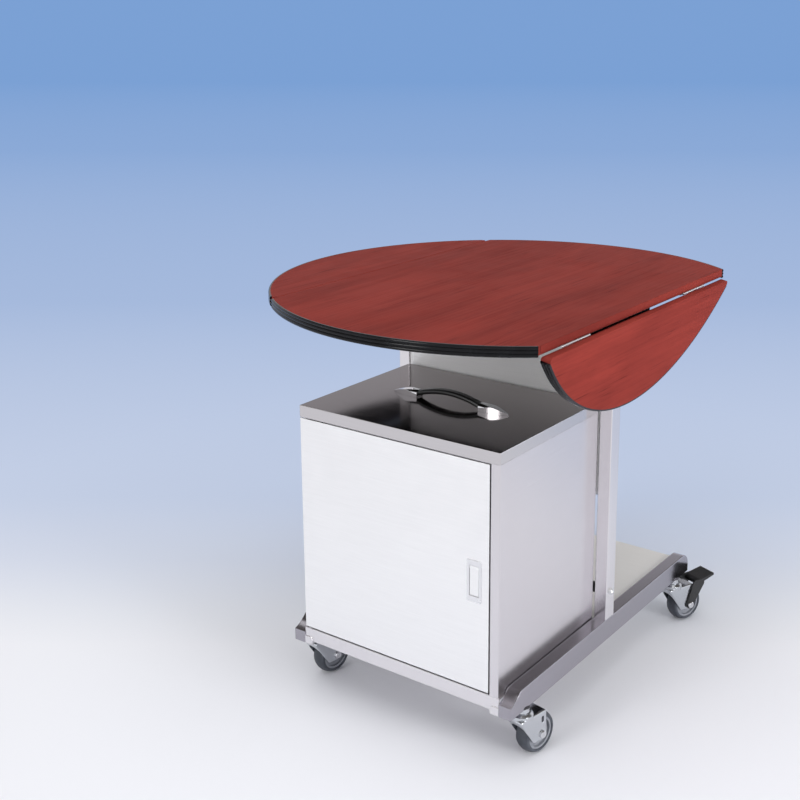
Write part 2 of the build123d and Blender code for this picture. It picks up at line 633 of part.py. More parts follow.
def make_fork(x, y, turn):
    """A pressed fork: two arms, a top plate and a front with an arch over the wheel."""
    side = side_plane(x, y, turn)
    shoulder = FORK_PLATE_TOP - FORK_SHOULDER_RADIUS
    front = FORK_SHOULDER_RADIUS - FORK_FRONT
    with BuildPart() as fork:
        with BuildSketch(side_plane(x, y, turn, -FORK_OUT)):
            with Locations((front, shoulder), (FORK_REAR - FORK_SHOULDER_RADIUS, shoulder)):
                Circle(FORK_SHOULDER_RADIUS)
            with Locations((FORK_TOE_FRONT, FORK_TOE_HEIGHT), (FORK_TOE_REAR, FORK_TOE_HEIGHT)):
                Circle(FORK_TOE_RADIUS)
            make_hull()
        extrude(amount=2 * FORK_OUT)
        across = fork.faces().sort_by(Axis(side.origin, side.z_dir))
        fillet(across[0].edges() + across[-1].edges(), FORK_BEND_RADIUS)
        with BuildSketch(side_plane(x, y, turn, -FORK_INSIDE / 2)):
            inner_shoulder = shoulder - FORK_SHEET
            with Locations((front + FORK_FRONT_SHEET, inner_shoulder), (2 * FORK_REAR, inner_shoulder)):
                Circle(FORK_SHOULDER_RADIUS)
            with Locations((FORK_TOE_FRONT + FORK_FRONT_SHEET, FORK_TOE_HEIGHT), (2 * FORK_REAR, 0)):
                Circle(FORK_TOE_RADIUS)
            make_hull()
        extrude(amount=FORK_INSIDE, mode=Mode.SUBTRACT)
        with BuildSketch(Plane(origin=(x, y, 0), x_dir=side.z_dir, z_dir=side.x_dir * -1)):
            RectangleRounded(FORK_INSIDE, 2 * FORK_ARCH_HEIGHT, FORK_ARCH_RADIUS)
        extrude(amount=2 * FORK_REAR, both=True, mode=Mode.SUBTRACT)
        with BuildSketch(side_plane(x, y, turn, -FORK_OUT)):
            with Locations((CASTER_TRAIL, WHEEL_RADIUS)):
                Circle(AXLE_RADIUS + RUNNING_CLEARANCE)
            with Locations((CASTER_TRAIL, FORK_SLOT_HEIGHT)):
                SlotOverall(FORK_SLOT_LENGTH, FORK_SLOT_WIDTH, rotation=90)
        extrude(amount=2 * FORK_OUT, mode=Mode.SUBTRACT)
        rod(Plane((x, y, FORK_PLATE_BOTTOM)), RACE_RADIUS, RACE_TOP - FORK_PLATE_BOTTOM)
        rim = fork.edges().filter_by(GeomType.CIRCLE).group_by(Axis.Z)[-1]
        chamfer(rim, (RACE_TOP - FORK_PLATE_TOP) / 2)
        king_hole = Plane((x, y, FORK_PLATE_BOTTOM))
        rod(king_hole, KINGPIN_RADIUS + RUNNING_CLEARANCE, RACE_TOP - FORK_PLATE_BOTTOM, Mode.SUBTRACT)
    return fork


def wheel_plane(x, y, turn, lateral=0.0):
    """Plane square to a wheel's axle, with its origin on the axle."""
    side = side_plane(x, y, turn, lateral)
    return Plane(origin=side.origin + side.x_dir * CASTER_TRAIL + side.y_dir * WHEEL_RADIUS,
                 x_dir=side.x_dir, z_dir=side.z_dir)


def make_axle(x, y, turn, seat):
    with BuildPart() as axle:
        rod(wheel_plane(x, y, turn, -seat - AXLE_HEAD), AXLE_RADIUS, 2 * (seat + AXLE_HEAD))
        for lateral in (-seat - AXLE_HEAD, seat):
            rod(wheel_plane(x, y, turn, lateral), AXLE_HEAD_RADIUS, AXLE_HEAD)
        side = side_plane(x, y, turn)
        rims = axle.edges().filter_by(GeomType.CIRCLE).sort_by(Axis(side.origin, side.z_dir))
        chamfer([rims[0], rims[-1]], AXLE_HEAD_CHAMFER)
    return axle


def make_wheel_core(x, y, turn):
    hub_half = FORK_INSIDE / 2 - RACE_GAP
    with BuildPart() as core:
        rod(wheel_plane(x, y, turn, -RIM_WIDTH / 2), RIM_RADIUS, RIM_WIDTH)
        for lateral in (-RIM_WIDTH / 2, RIM_WIDTH / 2 - WEB_RECESS):
            with BuildSketch(wheel_plane(x, y, turn, lateral)):
                Circle(RIM_RADIUS - RIM_LIP)
                Circle(HUB_RADIUS, mode=Mode.SUBTRACT)
            extrude(amount=WEB_RECESS, mode=Mode.SUBTRACT)
        rod(wheel_plane(x, y, turn, -hub_half), HUB_RADIUS, 2 * hub_half)
        rod(wheel_plane(x, y, turn, -hub_half), AXLE_RADIUS + RUNNING_CLEARANCE, 2 * hub_half, Mode.SUBTRACT)
    return core


def make_tyre(x, y, turn):
    """A tyre with a domed tread, turned about the axle."""
    hub = wheel_plane(x, y, turn)
    bore = RIM_RADIUS + RUNNING_CLEARANCE
    with BuildPart() as tyre:
        with BuildSketch(Plane(origin=hub.origin, x_dir=hub.x_dir, z_dir=hub.x_dir.cross(hub.z_dir))) as profile:
            with Locations((bore, 0)):
                Rectangle(WHEEL_RADIUS - bore, TYRE_WIDTH, align=(Align.MIN, Align.CENTER))
            with Locations((WHEEL_RADIUS - TREAD_RADIUS, 0)):
                Circle(TREAD_RADIUS, mode=Mode.INTERSECT)
            corners = [row.sort_by(Axis.X)[-1] for row in profile.vertices().group_by(Axis.Y)]
            fillet([corners[0], corners[-1]], TYRE_SHOULDER)
        revolve(profile.sketch, axis=Axis(hub.origin, hub.z_dir))
    return tyre


def make_pedal(x, y, turn):
    inside = FORK_OUT + PEDAL_SIDE_GAP
    bridge_mid = (PEDAL_BRIDGE_START + PEDAL_BRIDGE_END) / 2
    bridge_radius = (PEDAL_BRIDGE_END - PEDAL_BRIDGE_START) / 2
    with BuildPart() as pedal:
        for lateral in (-inside - PEDAL_SHEET, inside):
            with BuildSketch(side_plane(x, y, turn, lateral)):
                with Locations((CASTER_TRAIL, WHEEL_RADIUS)):
                    Circle(PEDAL_CHEEK_RADIUS)
                bridge_z = PEDAL_BRIDGE_HIGH - bridge_radius
                with Locations((PEDAL_CHEEK_FRONT, bridge_z), (bridge_mid, bridge_z)):
                    Circle(bridge_radius)
                make_hull()
                with Locations((CASTER_TRAIL, WHEEL_RADIUS)):
                    Circle(AXLE_RADIUS + RUNNING_CLEARANCE, mode=Mode.SUBTRACT)
            extrude(amount=PEDAL_SHEET)
        with BuildSketch(side_plane(x, y, turn, -inside)):
            with Locations((bridge_mid, bridge_z)):
                Circle(bridge_radius)
        extrude(amount=2 * inside)
        with BuildSketch(side_plane(x, y, turn, -PEDAL_WIDTH / 2)):
            with BuildLine():
                root = (bridge_mid, PEDAL_BRIDGE_HIGH - PEDAL_THICKNESS)
                tip = (PEDAL_REACH, PEDAL_TIP_HIGH - PEDAL_THICKNESS / 2)
                Polyline(root, (bridge_mid, PEDAL_BRIDGE_HIGH), (PEDAL_REACH, PEDAL_TIP_HIGH), tip, close=True)
            make_face()
        extrude(amount=PEDAL_WIDTH)
    return pedal


for name, (x, y, turn, braked) in CASTERS.items():
    seat = FORK_OUT + (PEDAL_SIDE_GAP + PEDAL_SHEET + PEDAL_SIDE_GAP if braked else 0)
    save(make_fork(x, y, turn), f"{name}_fork")
    save(make_axle(x, y, turn, seat), f"{name}_axle")
    save(make_wheel_core(x, y, turn), f"{name}_wheel_core")
    save(make_tyre(x, y, turn), f"{name}_tyre")
    if braked:
        save(make_pedal(x, y, turn), f"{name}_brake_pedal")

# Insulated box: outer shell, foam, inner liner and a folded cap on top
SHELL_X = BOX_X - BOX_SHEET
DOOR_PIN_PLACES = ((BOX_BOTTOM, 1), (SHELL_TOP, -1))


def door_pin(z, direction, radius, mode=Mode.ADD):
    """A door pivot pin that starts on the bottom or top sheet and points into the door."""
    start = Plane(origin=(DOOR_PIVOT_X, DOOR_PIVOT_Y, z), z_dir=(0, 0, direction))
    rod(start, radius, DOOR_PIN_LENGTH, mode)


def bolt_space(clearance, mode=Mode.ADD):
    """The latch bolt, or the space that it needs, round its place in the door."""
    low = (BOLT_TAIL - clearance, BOLT_FRONT - clearance, LATCH_Z - BOLT_HEIGHT / 2 - clearance)
    high = (BOLT_TIP + clearance, BOLT_BACK + clearance, LATCH_Z + BOLT_HEIGHT / 2 + clearance)
    block(low, high, mode)


with BuildPart() as box_shell:
    block((-BOX_X, BOX_FRONT, BOX_BOTTOM), (BOX_X, BOX_REAR, SHELL_TOP))
    rear_edges = box_shell.edges().filter_by(Axis.Z).group_by(Axis.Y)[-1]
    fillet(rear_edges, BOX_EDGE_RADIUS)
    inside_low = (-SHELL_X, FRAME_FRONT, BOX_BOTTOM + BOX_SHEET)
    inside_high = (SHELL_X, BOX_REAR - BOX_SHEET, SHELL_TOP - BOX_SHEET)
    block(inside_low, inside_high, Mode.SUBTRACT)
    door_low = (-BOX_X, BOX_FRONT, BOX_BOTTOM + BOX_SHEET)
    door_high = (STILE_X, FRAME_FRONT, SHELL_TOP - BOX_SHEET)
    block(door_low, door_high, Mode.SUBTRACT)
    stile_low = (STILE_X + BOX_SHEET, BOX_FRONT + BOX_SHEET, BOX_BOTTOM + BOX_SHEET)
    stile_high = (SHELL_X, FRAME_FRONT + BOX_SHEET, SHELL_TOP - BOX_SHEET)
    block(stile_low, stile_high, Mode.SUBTRACT)
    bolt_space(BOLT_CLEARANCE, Mode.SUBTRACT)
    for z, direction in DOOR_PIN_PLACES:
        door_pin(z, direction, DOOR_PIN_RADIUS, Mode.SUBTRACT)
save(box_shell, "box_shell")

with BuildPart() as box_liner:
    flange_low = (-SHELL_X, FRAME_FRONT, BOX_BOTTOM + BOX_SHEET)
    flange_high = (STILE_X, FRAME_FRONT + BOX_SHEET, SHELL_TOP - BOX_SHEET)
    block(flange_low, flange_high)
    tub_low = (-CAVITY_X - BOX_SHEET, FRAME_FRONT, CAVITY_BOTTOM - BOX_SHEET)
    tub_high = (CAVITY_X + BOX_SHEET, CAVITY_REAR + BOX_SHEET, CAVITY_TOP + BOX_SHEET)
    block(tub_low, tub_high)
    block((-CAVITY_X, FRAME_FRONT, CAVITY_BOTTOM), (CAVITY_X, CAVITY_REAR, CAVITY_TOP), Mode.SUBTRACT)
    for side in (-1, 1):
        near = side * CAVITY_X
        far = side * (CAVITY_X - RUNNER_WIDTH)
        low = (min(near, far), FRAME_FRONT + BOX_SHEET, SHELF_HEIGHT - RUNNER_SHEET)
        block(low, (max(near, far), CAVITY_REAR, SHELF_HEIGHT))
save(box_liner, "box_liner")

with BuildPart() as box_insulation:
    low = (-SHELL_X, FRAME_FRONT + BOX_SHEET, BOX_BOTTOM + BOX_SHEET)
    block(low, (SHELL_X, BOX_REAR - BOX_SHEET, SHELL_TOP - BOX_SHEET))
    hole_high = (CAVITY_X + BOX_SHEET, CAVITY_REAR + BOX_SHEET, CAVITY_TOP + BOX_SHEET)
    block((-CAVITY_X - BOX_SHEET, FRAME_FRONT, CAVITY_BOTTOM - BOX_SHEET), hole_high, Mode.SUBTRACT)
    block(stile_low, stile_high)
    bolt_space(BOLT_CLEARANCE, Mode.SUBTRACT)
save(box_insulation, "box_insulation")

with BuildPart() as box_lid:
    block((-BOX_X, BOX_FRONT, SHELL_TOP), (BOX_X, BOX_REAR, BOX_TOP))
    upper = box_lid.edges().group_by(Axis.Z)[-1]
    fillet(upper, LID_EDGE_RADIUS)
    inside_low = (-SHELL_X, BOX_FRONT + BOX_SHEET, SHELL_TOP)
    block(inside_low, (SHELL_X, BOX_REAR - BOX_SHEET, BOX_TOP - BOX_SHEET), Mode.SUBTRACT)
save(box_lid, "box_lid")

with BuildPart() as shelf:
    shelf_x = CAVITY_X - SIDE_PLAY
    shelf_front = FRAME_FRONT + BOX_SHEET + SIDE_PLAY
    shelf_rear = CAVITY_REAR - SIDE_PLAY
    block((-shelf_x, shelf_front, SHELF_HEIGHT), (shelf_x, shelf_rear, SHELF_HEIGHT + SHELF_SHEET))
    for edge in (shelf_front, shelf_rear - SHELF_SHEET):
        block((-shelf_x, edge, SHELF_HEIGHT), (shelf_x, edge + SHELF_SHEET, SHELF_HEIGHT + SHELF_LIP))
save(shelf, "shelf")

with BuildPart() as door_hinge_pins:
    for z, direction in DOOR_PIN_PLACES:
        door_pin(z, direction, DOOR_PIN_RADIUS)
save(door_hinge_pins, "door_hinge_pins")

# Carrying handle: an arched grip held in two pointed, round-topped end fittings
BOX_MID_Y = (BOX_FRONT + BOX_REAR) / 2
GRIP_HALF = HANDLE_LENGTH / 2 - HANDLE_END_LENGTH
ARC_RADIUS = (GRIP_HALF ** 2 + GRIP_RISE ** 2) / (2 * GRIP_RISE)
ARC_CENTER_Z = BOX_TOP + GRIP_START_HEIGHT + GRIP_RISE - ARC_RADIUS
GRIP_ANGLE = degrees(atan2(GRIP_HALF + GRIP_INSERT, ARC_RADIUS - GRIP_RISE))

with BuildPart() as handle_grip:
    middle = Plane(origin=(0, BOX_MID_Y, ARC_CENTER_Z), x_dir=(1, 0, 0), z_dir=(0, -1, 0))
    arc_start = turned(middle, 90 - GRIP_ANGLE)
    with BuildSketch(section_plane(arc_start)):
        with Locations((ARC_RADIUS, 0)):
            RectangleRounded(GRIP_THICKNESS, GRIP_WIDTH, GRIP_ROUND)
    revolve(axis=Axis(middle.origin, middle.z_dir), revolution_arc=2 * GRIP_ANGLE)
save(handle_grip, "handle_grip")

with BuildPart() as handle_ends:
    for side in (-1, 1):
        tip = (side * HANDLE_LENGTH / 2, BOX_MID_Y)
        root_x = side * GRIP_HALF
        with BuildSketch(Plane.XY.offset(BOX_TOP)):
            with BuildLine():
                near = (root_x, BOX_MID_Y - HANDLE_END_WIDTH / 2)
                far = (root_x, BOX_MID_Y + HANDLE_END_WIDTH / 2)
                TangentArc(near, tip, tangent=(side, 0))
                TangentArc(far, tip, tangent=(side, 0))
                Line(far, near)
            make_face()
        extrude(amount=HANDLE_END_HEIGHT)
        upright = Plane(origin=(0, BOX_MID_Y, BOX_TOP), x_dir=(side, 0, 0), z_dir=(0, -side, 0))
        with BuildSketch(upright):
            with BuildLine():
                Line((HANDLE_LENGTH / 2, HANDLE_TIP_HEIGHT), (HANDLE_LENGTH / 2, HANDLE_END_HEIGHT))
                Line((HANDLE_LENGTH / 2, HANDLE_END_HEIGHT), (GRIP_HALF, HANDLE_END_HEIGHT))
                low_tip = (HANDLE_LENGTH / 2, HANDLE_TIP_HEIGHT)
                TangentArc((GRIP_HALF, HANDLE_END_HEIGHT), low_tip, tangent=(1, 0))
            make_face()
        extrude(amount=HANDLE_END_WIDTH, both=True, mode=Mode.SUBTRACT)
    with BuildSketch(Plane(origin=(0, BOX_MID_Y, BOX_TOP), x_dir=(0, 1, 0), z_dir=(1, 0, 0))):
        RectangleRounded(HANDLE_END_WIDTH, 2 * HANDLE_END_HEIGHT, HANDLE_END_ROUND)
    extrude(amount=HANDLE_LENGTH / 2, both=True, mode=Mode.INTERSECT)
    add(handle_grip.part, mode=Mode.SUBTRACT)
save(handle_ends, "handle_ends")

# Door: a folded outer skin, foam, an inner sheet and a gasket
with BuildPart() as door_skin:
    block((DOOR_LEFT, BOX_FRONT, DOOR_BOTTOM), (DOOR_RIGHT, DOOR_BACK, DOOR_TOP))
    front_edges = door_skin.faces().sort_by(Axis.Y)[0].edges()
    fillet(front_edges, DOOR_EDGE_RADIUS)
    skin_low = (DOOR_LEFT + BOX_SHEET, BOX_FRONT + BOX_SHEET, DOOR_BOTTOM + BOX_SHEET)
    skin_high = (DOOR_RIGHT - BOX_SHEET, DOOR_BACK, DOOR_TOP - BOX_SHEET)
    block(skin_low, skin_high, Mode.SUBTRACT)
    for z, direction in DOOR_PIN_PLACES:
        door_pin(z, direction, DOOR_PIN_RADIUS + RUNNING_CLEARANCE, Mode.SUBTRACT)
    tub_half_x = LATCH_WIDTH / 2 - LATCH_TUB_MARGIN
    tub_half_z = LATCH_HEIGHT / 2 - LATCH_TUB_MARGIN
    tub_low = (LATCH_X - tub_half_x, BOX_FRONT, LATCH_Z - tub_half_z)
    tub_high = (LATCH_X + tub_half_x, LATCH_BACK, LATCH_Z + tub_half_z)
    block(tub_low, tub_high, Mode.SUBTRACT)
    bolt_space(BOLT_CLEARANCE, Mode.SUBTRACT)
save(door_skin, "door_skin")

with BuildPart() as door_liner:
    liner_low = (skin_low[0], DOOR_BACK - BOX_SHEET, skin_low[2])
    block(liner_low, skin_high)
save(door_liner, "door_liner")

with BuildPart() as door_insulation:
    block(skin_low, (skin_high[0], DOOR_BACK - BOX_SHEET, skin_high[2]))
    for z, direction in DOOR_PIN_PLACES:
        door_pin(z, direction, DOOR_PIN_RADIUS + RUNNING_CLEARANCE, Mode.SUBTRACT)
    block(tub_low, tub_high, Mode.SUBTRACT)
    low = (BOLT_TAIL - BOLT_THROW - BOLT_CLEARANCE, LATCH_BACK, LATCH_Z - BOLT_HEIGHT / 2 - BOLT_CLEARANCE)
    high = (skin_high[0], DOOR_BACK - BOX_SHEET, LATCH_Z + BOLT_HEIGHT / 2 + BOLT_CLEARANCE)
    block(low, high, Mode.SUBTRACT)
save(door_insulation, "door_insulation")

with BuildPart() as door_gasket:
    gasket_back = FRAME_FRONT - GASKET_CLEARANCE
    low = (DOOR_LEFT + GASKET_INSET, DOOR_BACK, DOOR_BOTTOM + GASKET_INSET)
    high = (DOOR_RIGHT - GASKET_INSET, gasket_back, DOOR_TOP - GASKET_INSET)
    block(low, high)
    hole_low = (low[0] + GASKET_WIDTH, DOOR_BACK, low[2] + GASKET_WIDTH)
    block(hole_low, (high[0] - GASKET_WIDTH, gasket_back, high[2] - GASKET_WIDTH), Mode.SUBTRACT)
save(door_gasket, "door_gasket")

# Flush latch: a pressed pan, a paddle that tips inwards and the bolt that it draws
PADDLE_HALF_X = LATCH_WINDOW_WIDTH / 2 - PADDLE_CLEARANCE
PADDLE_HALF_Z = LATCH_WINDOW_HEIGHT / 2 - PADDLE_CLEARANCE
PADDLE_FRONT = BOX_FRONT - LATCH_PROUD + PADDLE_SETBACK
PADDLE_PIVOT_Y = PADDLE_FRONT + PADDLE_THICKNESS / 2
PADDLE_PIVOT_Z = LATCH_Z + PADDLE_HALF_Z - PADDLE_PIVOT_DROP


def paddle_pivot(radius, clearance, mode=Mode.ADD):
    """The paddle's cross pin, or the hole that it turns in."""
    half = PADDLE_HALF_X + PADDLE_CLEARANCE + PADDLE_PIVOT_LENGTH + clearance
    start = Plane(origin=(LATCH_X - half, PADDLE_PIVOT_Y, PADDLE_PIVOT_Z), z_dir=(1, 0, 0))
    rod(start, radius + clearance, 2 * half, mode)


with BuildPart() as latch_pan:
    block(tub_low, tub_high)
    with BuildSketch(Plane(origin=(LATCH_X, BOX_FRONT, LATCH_Z), x_dir=(1, 0, 0), z_dir=(0, -1, 0))):
        RectangleRounded(LATCH_WIDTH, LATCH_HEIGHT, LATCH_ROUND)
    extrude(amount=LATCH_PROUD)
    fillet(latch_pan.faces().sort_by(Axis.Y)[0].edges(), LATCH_PROUD / 3)
    window_half_x = LATCH_WINDOW_WIDTH / 2
    window_half_z = LATCH_WINDOW_HEIGHT / 2
    low = (LATCH_X - window_half_x, BOX_FRONT - LATCH_PROUD, LATCH_Z - window_half_z)
    high = (LATCH_X + window_half_x, LATCH_BACK - LATCH_FLOOR, LATCH_Z + window_half_z)
    block(low, high, Mode.SUBTRACT)
    paddle_pivot(PADDLE_PIVOT_RADIUS, RUNNING_CLEARANCE, Mode.SUBTRACT)
save(latch_pan, "latch_pan")

with BuildPart() as latch_paddle:
    low = (LATCH_X - PADDLE_HALF_X, PADDLE_FRONT, LATCH_Z - PADDLE_HALF_Z)
    block(low, (LATCH_X + PADDLE_HALF_X, PADDLE_FRONT + PADDLE_THICKNESS, LATCH_Z + PADDLE_HALF_Z))
    fillet(latch_paddle.faces().sort_by(Axis.Y)[0].edges(), PADDLE_THICKNESS / 4)
    paddle_pivot(PADDLE_PIVOT_RADIUS, 0)
save(latch_paddle, "latch_paddle")

with BuildPart() as latch_bolt:
    bolt_space(0)
save(latch_bolt, "latch_bolt")
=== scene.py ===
# %% [markdown]
# # A food transport trolley
# The real object is a small table on casters. Its round top has two drop leaves, and under it stands a portable
# insulated box of stainless steel. Every solid already exists as a CAD node, so this lesson loads those nodes and
# gives each one the finish that it has on the real trolley. Nothing is moved: all nodes share one frame, in metres.

# %% Load the frame
import math

import bpy
from mathutils import Euler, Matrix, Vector

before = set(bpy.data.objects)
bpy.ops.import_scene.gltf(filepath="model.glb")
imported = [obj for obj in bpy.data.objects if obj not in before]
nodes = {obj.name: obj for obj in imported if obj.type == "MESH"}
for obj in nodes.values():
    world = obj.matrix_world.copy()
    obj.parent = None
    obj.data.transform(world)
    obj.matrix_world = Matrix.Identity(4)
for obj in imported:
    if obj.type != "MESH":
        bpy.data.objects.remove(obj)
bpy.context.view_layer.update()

# %% [markdown]
# ## The camera
# The photograph looks at the front right corner from a little above the table. A camera could be turned by hand until
# it looks right, but an angle, a place and a lens that were measured on the box edges keep the proportions of the
# picture. A small shift puts the trolley to the right of the middle and low in the frame.

# %% Camera
CAMERA_PLACE = (1.2053, -1.9045, 1.2487)
CAMERA_AZIMUTH = 35.277
CAMERA_PITCH = 13.473
CAMERA_LENS = 55.087
CAMERA_SENSOR = 36.0
CAMERA_SHIFT = (-0.06, -0.12)

camera_data = bpy.data.cameras.new("photo_camera")
camera_data.sensor_width = CAMERA_SENSOR
camera_data.lens = CAMERA_LENS
camera_data.shift_x, camera_data.shift_y = CAMERA_SHIFT
camera = bpy.data.objects.new("photo_camera", camera_data)
bpy.context.scene.collection.objects.link(camera)
camera.location = CAMERA_PLACE
camera.rotation_euler = Euler((math.radians(90 - CAMERA_PITCH), 0, math.radians(CAMERA_AZIMUTH)))
bpy.context.scene.camera = camera
bpy.context.scene.view_settings.view_transform = "Standard"
print("camera at", CAMERA_PLACE, "lens", CAMERA_LENS)

# %% [markdown]
# ## Small helpers for node trees
# A material is a graph of nodes. Typing every link by hand hides the idea behind the finish, so small helpers add a
# node with its values, join two sockets and do sums. Two more start and use a node group: an effect that several
# finishes share, with named inputs and outputs.

# %% Node helpers
def add_node(tree, kind, values=None, **settings):
    """A node with some of its settings and input values filled in."""
    node = tree.nodes.new(kind)
    for name, value in settings.items():
        setattr(node, name, value)
    for key, value in (values or {}).items():
        node.inputs[key].default_value = value
    return node


def join(tree, source, target):
    tree.links.new(source, target)


def start_group(name, inputs, outputs):
    """A shader node group with its sockets; gives the tree and its input and output nodes."""
    tree = bpy.data.node_groups.new(name, "ShaderNodeTree")
    for socket, (kind, value) in inputs.items():
        made = tree.interface.new_socket(socket, in_out="INPUT", socket_type=kind)
        made.default_value = value
    for socket, kind in outputs.items():
        tree.interface.new_socket(socket, in_out="OUTPUT", socket_type=kind)
    return tree, tree.nodes.new("NodeGroupInput"), tree.nodes.new("NodeGroupOutput")


def use_group(tree, group, values=None):
    """A node that stands for a whole group, with some of its input values filled in."""
    node = tree.nodes.new("ShaderNodeGroup")
    node.node_tree = group
    for key, value in (values or {}).items():
        node.inputs[key].default_value = value
    return node


def math_node(tree, operation, first, second):
    """A math node; each operand is a socket or a number."""
    node = tree.nodes.new("ShaderNodeMath")
    node.operation = operation
    for place, operand in enumerate((first, second)):
        if isinstance(operand, (int, float)):
            node.inputs[place].default_value = operand
        else:
            join(tree, operand, node.inputs[place])
    return node.outputs[0]


FLOAT, VECTOR, COLOR = "NodeSocketFloat", "NodeSocketVector", "NodeSocketColor"
print("helpers ready")

# %% [markdown]
# ## Brush lines
# Stainless sheet is finished on a belt, which leaves fine parallel lines. An image of lines would repeat, and drawn
# geometry would be far too heavy. A noise that is squeezed across the lines and stretched along them gives lines of
# uneven length at any scale, so the group takes one number per axis: high across the lines, low along them.

# %% Group for brush lines
brush_lines, group_in, group_out = start_group(
    "brush_lines",
    {"Squeeze": (VECTOR, (900.0, 900.0, 14.0))},
    {"Line": FLOAT},
)
place = add_node(brush_lines, "ShaderNodeTexCoord")
squeezed = add_node(brush_lines, "ShaderNodeVectorMath", operation="MULTIPLY")
join(brush_lines, place.outputs["Object"], squeezed.inputs[0])
join(brush_lines, group_in.outputs["Squeeze"], squeezed.inputs[1])
fine = add_node(brush_lines, "ShaderNodeTexNoise", {"Scale": 1.0, "Detail": 3.0, "Roughness": 0.6})
join(brush_lines, squeezed.outputs[0], fine.inputs["Vector"])
join(brush_lines, fine.outputs["Fac"], group_out.inputs["Line"])
print("group", brush_lines.name)

# %% [markdown]
# ## Handling marks
# A trolley is pushed, wiped and touched, so its gloss is never even. Two soft noises of different size, multiplied,
# make cloudy patches. They change only the roughness a little, the way a wiped surface does.

# %% Group for handling marks
SMEAR_RATIO = 4.3
handling_marks, group_in, group_out = start_group(
    "handling_marks",
    {"Size": (FLOAT, 9.0)},
    {"Mark": FLOAT},
)
place = add_node(handling_marks, "ShaderNodeTexCoord")
cloud = add_node(handling_marks, "ShaderNodeTexNoise", {"Detail": 4.0, "Roughness": 0.55, "Distortion": 0.6})
smear = add_node(handling_marks, "ShaderNodeTexNoise", {"Detail": 2.0, "Roughness": 0.5})
join(handling_marks, place.outputs["Object"], cloud.inputs["Vector"])
join(handling_marks, place.outputs["Object"], smear.inputs["Vector"])
join(handling_marks, group_in.outputs["Size"], cloud.inputs["Scale"])
smear_scale = math_node(handling_marks, "MULTIPLY", group_in.outputs["Size"], SMEAR_RATIO)
join(handling_marks, smear_scale, smear.inputs["Scale"])
product = math_node(handling_marks, "MULTIPLY", cloud.outputs["Fac"], smear.outputs["Fac"])
spread = add_node(handling_marks, "ShaderNodeMapRange", {"From Min": 0.12, "From Max": 0.42})
join(handling_marks, product, spread.inputs["Value"])
join(handling_marks, spread.outputs["Result"], group_out.inputs["Mark"])
print("group", handling_marks.name)

# %% [markdown]
# ## Faces that look up
# The lid's top is polished sheet that mirrors the dark underside of the table; its folded rim is as pale as the sides.
# That dark look is painted into the top's colour as a painted reflection. Splitting the sheet into two pieces would
# only copy what one fold does. The direction of the surface already tells top from rim, so a mask that is one where
# the surface looks up marks where the painted reflection goes.

# %% Group for upward faces
painted_top_mask, group_in, group_out = start_group("painted_top_mask", {"Start": (FLOAT, 0.90)}, {"Mask": FLOAT})
place = add_node(painted_top_mask, "ShaderNodeTexCoord")
split = add_node(painted_top_mask, "ShaderNodeSeparateXYZ")
level = add_node(painted_top_mask, "ShaderNodeMapRange", {"From Max": 0.99})
join(painted_top_mask, place.outputs["Normal"], split.inputs[0])
join(painted_top_mask, split.outputs["Z"], level.inputs["Value"])
join(painted_top_mask, group_in.outputs["Start"], level.inputs["From Min"])
join(painted_top_mask, level.outputs["Result"], group_out.inputs["Mask"])
print("group", painted_top_mask.name)

# %% [markdown]
# ## Steel finishes
# All sheet and tube of the trolley is stainless steel, but it isn't all alike: the door is a pale satin, the lid is
# nearly a mirror, and the frame lies between. One function makes them from a colour, a roughness and the direction of
# the brush lines. Plated pieces aren't brushed, so their grain is as fine on all three axes. A Bevel node rounds the
# light at sharp sheet edges, which real folded sheet always has.

# %% Steel materials
LINE_DARK, LINE_BRIGHT = 0.93, 1.05
LINE_GLOSS = 0.08
LINE_RELIEF = 0.0005


def steel_finish(name, color, roughness, squeeze, line_depth=0.03, mark_change=0.08, bevel=0.0012, metal=1.0,
                 top=None):
    """A sheet or plate finish; top, where given, is a painted reflection: a dark colour for the faces that look up."""
    material = bpy.data.materials.new(name)
    material.use_nodes = True
    tree = material.node_tree
    shader = tree.nodes["Principled BSDF"]
    shader.inputs["Metallic"].default_value = metal
    lines = use_group(tree, brush_lines, {"Squeeze": squeeze})
    marks = use_group(tree, handling_marks)
    tone = add_node(tree, "ShaderNodeMix", data_type="RGBA")
    tone.inputs["A"].default_value = (*[c * LINE_DARK for c in color], 1)
    tone.inputs["B"].default_value = (*[min(c * LINE_BRIGHT, 1.0) for c in color], 1)
    join(tree, lines.outputs["Line"], tone.inputs["Factor"])
    surface = tone.outputs["Result"]
    # top paints, as colour, the dark reflection that faces looking up would show
    if top:
        painted_top_mix = add_node(tree, "ShaderNodeMix", data_type="RGBA")
        painted_top_mix.inputs["B"].default_value = (*top, 1)
        join(tree, use_group(tree, painted_top_mask).outputs["Mask"], painted_top_mix.inputs["Factor"])
        join(tree, surface, painted_top_mix.inputs["A"])
        surface = painted_top_mix.outputs["Result"]
    join(tree, surface, shader.inputs["Base Color"])
    gloss = math_node(tree, "MULTIPLY_ADD", lines.outputs["Line"], LINE_GLOSS)
    gloss.node.inputs[2].default_value = roughness - LINE_GLOSS / 2
    wiped = math_node(tree, "MULTIPLY_ADD", marks.outputs["Mark"], mark_change)
    join(tree, gloss, wiped.node.inputs[2])
    join(tree, wiped, shader.inputs["Roughness"])
    edge = add_node(tree, "ShaderNodeBevel", {"Radius": bevel}, samples=4)
    bump = add_node(tree, "ShaderNodeBump", {"Strength": line_depth, "Distance": LINE_RELIEF})
    join(tree, lines.outputs["Line"], bump.inputs["Height"])
    join(tree, edge.outputs["Normal"], bump.inputs["Normal"])
    join(tree, bump.outputs["Normal"], shader.inputs["Normal"])
    return material


